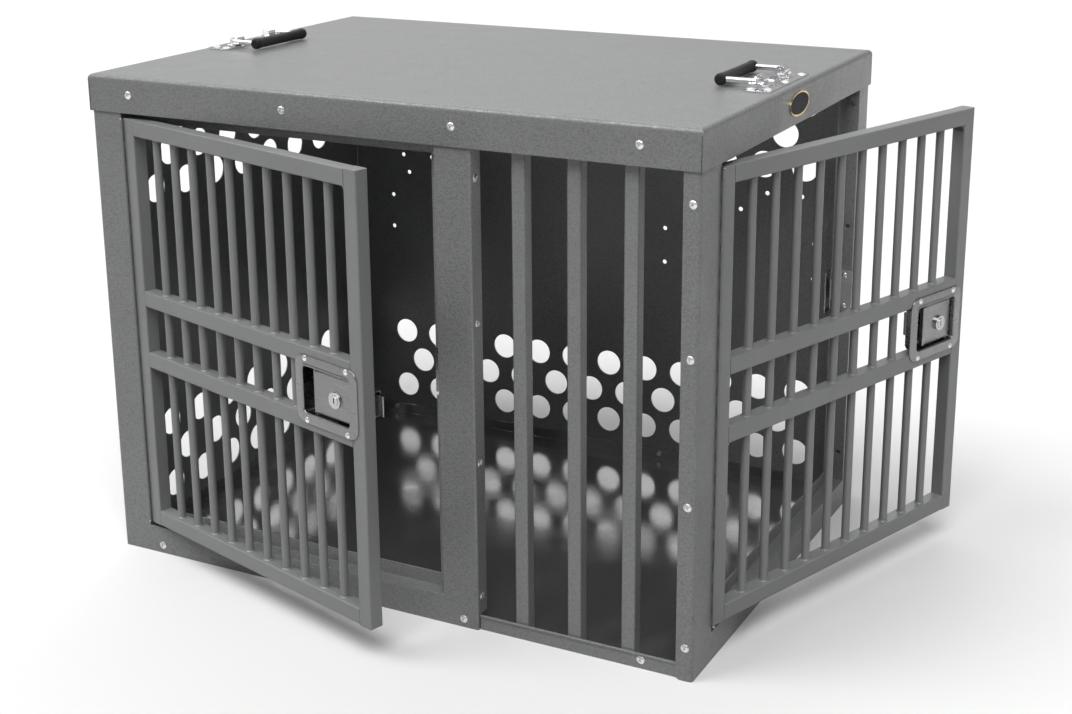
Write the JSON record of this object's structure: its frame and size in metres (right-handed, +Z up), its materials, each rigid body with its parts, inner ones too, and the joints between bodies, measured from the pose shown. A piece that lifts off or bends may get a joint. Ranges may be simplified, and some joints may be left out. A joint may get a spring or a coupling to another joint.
{
  "type": "dog crate",
  "caption": "Folded-sheet dog crate with barred front and side doors on piano hinges, paddle latches with strikes, vented back and side, and fold-down lid handles.",
  "frame": {"origin": "centre of the crate's underside, on the floor", "axes": "+Z up, the front face with its door and fixed bars towards -Y, the side door towards +X"},
  "size_m": [0.9108, 0.6701, 0.6078],
  "materials": {
    "hammertone_paint": "hammertone",
    "pan_paint": "semi-gloss",
    "door_paint": "satin",
    "stainless": "brushed",
    "hinge_metal": "satin",
    "chrome_plate": "polished",
    "rivet_metal": "satin",
    "lock_metal": "satin",
    "badge_gilt": "satin",
    "grip_rubber": "matte"
  },
  "bodies": {
    "crate": {"floor_pan": "pan_paint", "back_panel": "hammertone_paint", "left_panel": "hammertone_paint", "front_surround": "hammertone_paint", "side_surround": "hammertone_paint", "lid": "hammertone_paint", "front_header": "hammertone_paint", "front_bar_left": "hammertone_paint", "front_bar_middle": "hammertone_paint", "front_bar_right": "hammertone_paint", "front_sill_rail": "hammertone_paint", "front_strike": "stainless", "side_strike": "stainless", "front_hinge_frame_leaf": "hinge_metal", "front_hinge_pin": "stainless", "side_hinge_frame_leaf": "hinge_metal", "side_hinge_pin": "stainless", "left_handle_plate": "chrome_plate", "right_handle_plate": "chrome_plate", "badge_plate": "badge_gilt", "body_rivets": "rivet_metal", "handle_rivets": "rivet_metal"},
    "front_door": {"front_door_hinge_stile": "door_paint", "front_door_latch_stile": "door_paint", "front_door_top_rail": "door_paint", "front_door_bottom_rail": "door_paint", "front_door_upper_cross_rail": "door_paint", "front_door_lower_cross_rail": "door_paint", "front_door_bars": "door_paint", "front_hinge_door_leaf": "hinge_metal", "front_latch_dish": "stainless", "front_latch_case": "stainless", "front_latch_rivets": "rivet_metal", "front_paddle_pin": "stainless", "front_paddle_spring": "stainless"},
    "front_paddle": {"front_paddle": "stainless", "front_lock_cylinder": "lock_metal"},
    "front_lock_plug": {"front_lock_plug": "lock_metal"},
    "front_bolt": {"front_bolt": "stainless"},
    "side_door": {"side_door_hinge_stile": "door_paint", "side_door_latch_stile": "door_paint", "side_door_top_rail": "door_paint", "side_door_bottom_rail": "door_paint", "side_door_upper_cross_rail": "door_paint", "side_door_lower_cross_rail": "door_paint", "side_door_bars": "door_paint", "side_hinge_door_leaf": "hinge_metal", "side_latch_dish": "stainless", "side_latch_case": "stainless", "side_latch_rivets": "rivet_metal", "side_paddle_pin": "stainless", "side_paddle_spring": "stainless"},
    "side_paddle": {"side_paddle": "stainless", "side_lock_cylinder": "lock_metal"},
    "side_lock_plug": {"side_lock_plug": "lock_metal"},
    "side_bolt": {"side_bolt": "stainless"},
    "left_handle": {"left_bail": "chrome_plate", "left_grip": "grip_rubber"},
    "right_handle": {"right_bail": "chrome_plate", "right_grip": "grip_rubber"}
  },
  "joints": [
    {"name": "front_door_swing", "type": "hinge", "parent": "crate", "child": "front_door", "pos_m": [-0.3375, -0.2768, 0.292], "axis": [0, 0, -1], "range_deg": [-16.5, 158.5]},
    {"name": "front_paddle_pull", "type": "hinge", "parent": "front_door", "child": "front_paddle", "pos_m": [0.03544, -0.37861, 0.292], "axis": [0, 0, 1], "range_deg": [0, 30], "stiffness_Nm_per_rad": 0.4, "springref_deg": -14.32},
    {"name": "front_bolt_slide", "type": "slide", "parent": "front_door", "child": "front_bolt", "axis": [-0.9588, 0.284, 0], "range_m": [0, 0.0076]},
    {"name": "front_key_turn", "type": "hinge", "parent": "front_paddle", "child": "front_lock_plug", "pos_m": [0.01394, -0.37902, 0.29], "axis": [-0.284, -0.9588, 0], "range_deg": [0, 90]},
    {"name": "side_door_swing", "type": "hinge", "parent": "crate", "child": "side_door", "pos_m": [0.3828, -0.221, 0.292], "axis": [0, 0, -1], "range_deg": [-19, 156]},
    {"name": "side_paddle_pull", "type": "hinge", "parent": "side_door", "child": "side_paddle", "pos_m": [0.51397, 0.18544, 0.292], "axis": [0, 0, 1], "range_deg": [0, 30], "stiffness_Nm_per_rad": 0.4, "springref_deg": -14.32},
    {"name": "side_bolt_slide", "type": "slide", "parent": "side_door", "child": "side_bolt", "axis": [-0.3256, -0.9455, 0], "range_m": [0, 0.0076]},
    {"name": "side_key_turn", "type": "hinge", "parent": "side_paddle", "child": "side_lock_plug", "pos_m": [0.51344, 0.16394, 0.29], "axis": [0.9455, -0.3256, 0], "range_deg": [0, 90]},
    {"name": "left_handle_lift", "type": "hinge", "parent": "crate", "child": "left_handle", "pos_m": [-0.351, 0, 0.601], "axis": [0, -1, 0], "range_deg": [0, 90]},
    {"name": "right_handle_lift", "type": "hinge", "parent": "crate", "child": "right_handle", "pos_m": [0.351, 0, 0.601], "axis": [0, 1, 0], "range_deg": [0, 90]}
  ],
  "couplings": [
    {"joint": "front_bolt_slide", "follows": "front_paddle_pull", "m_per_rad": 0.014324},
    {"joint": "side_bolt_slide", "follows": "side_paddle_pull", "m_per_rad": 0.014324}
  ]
}
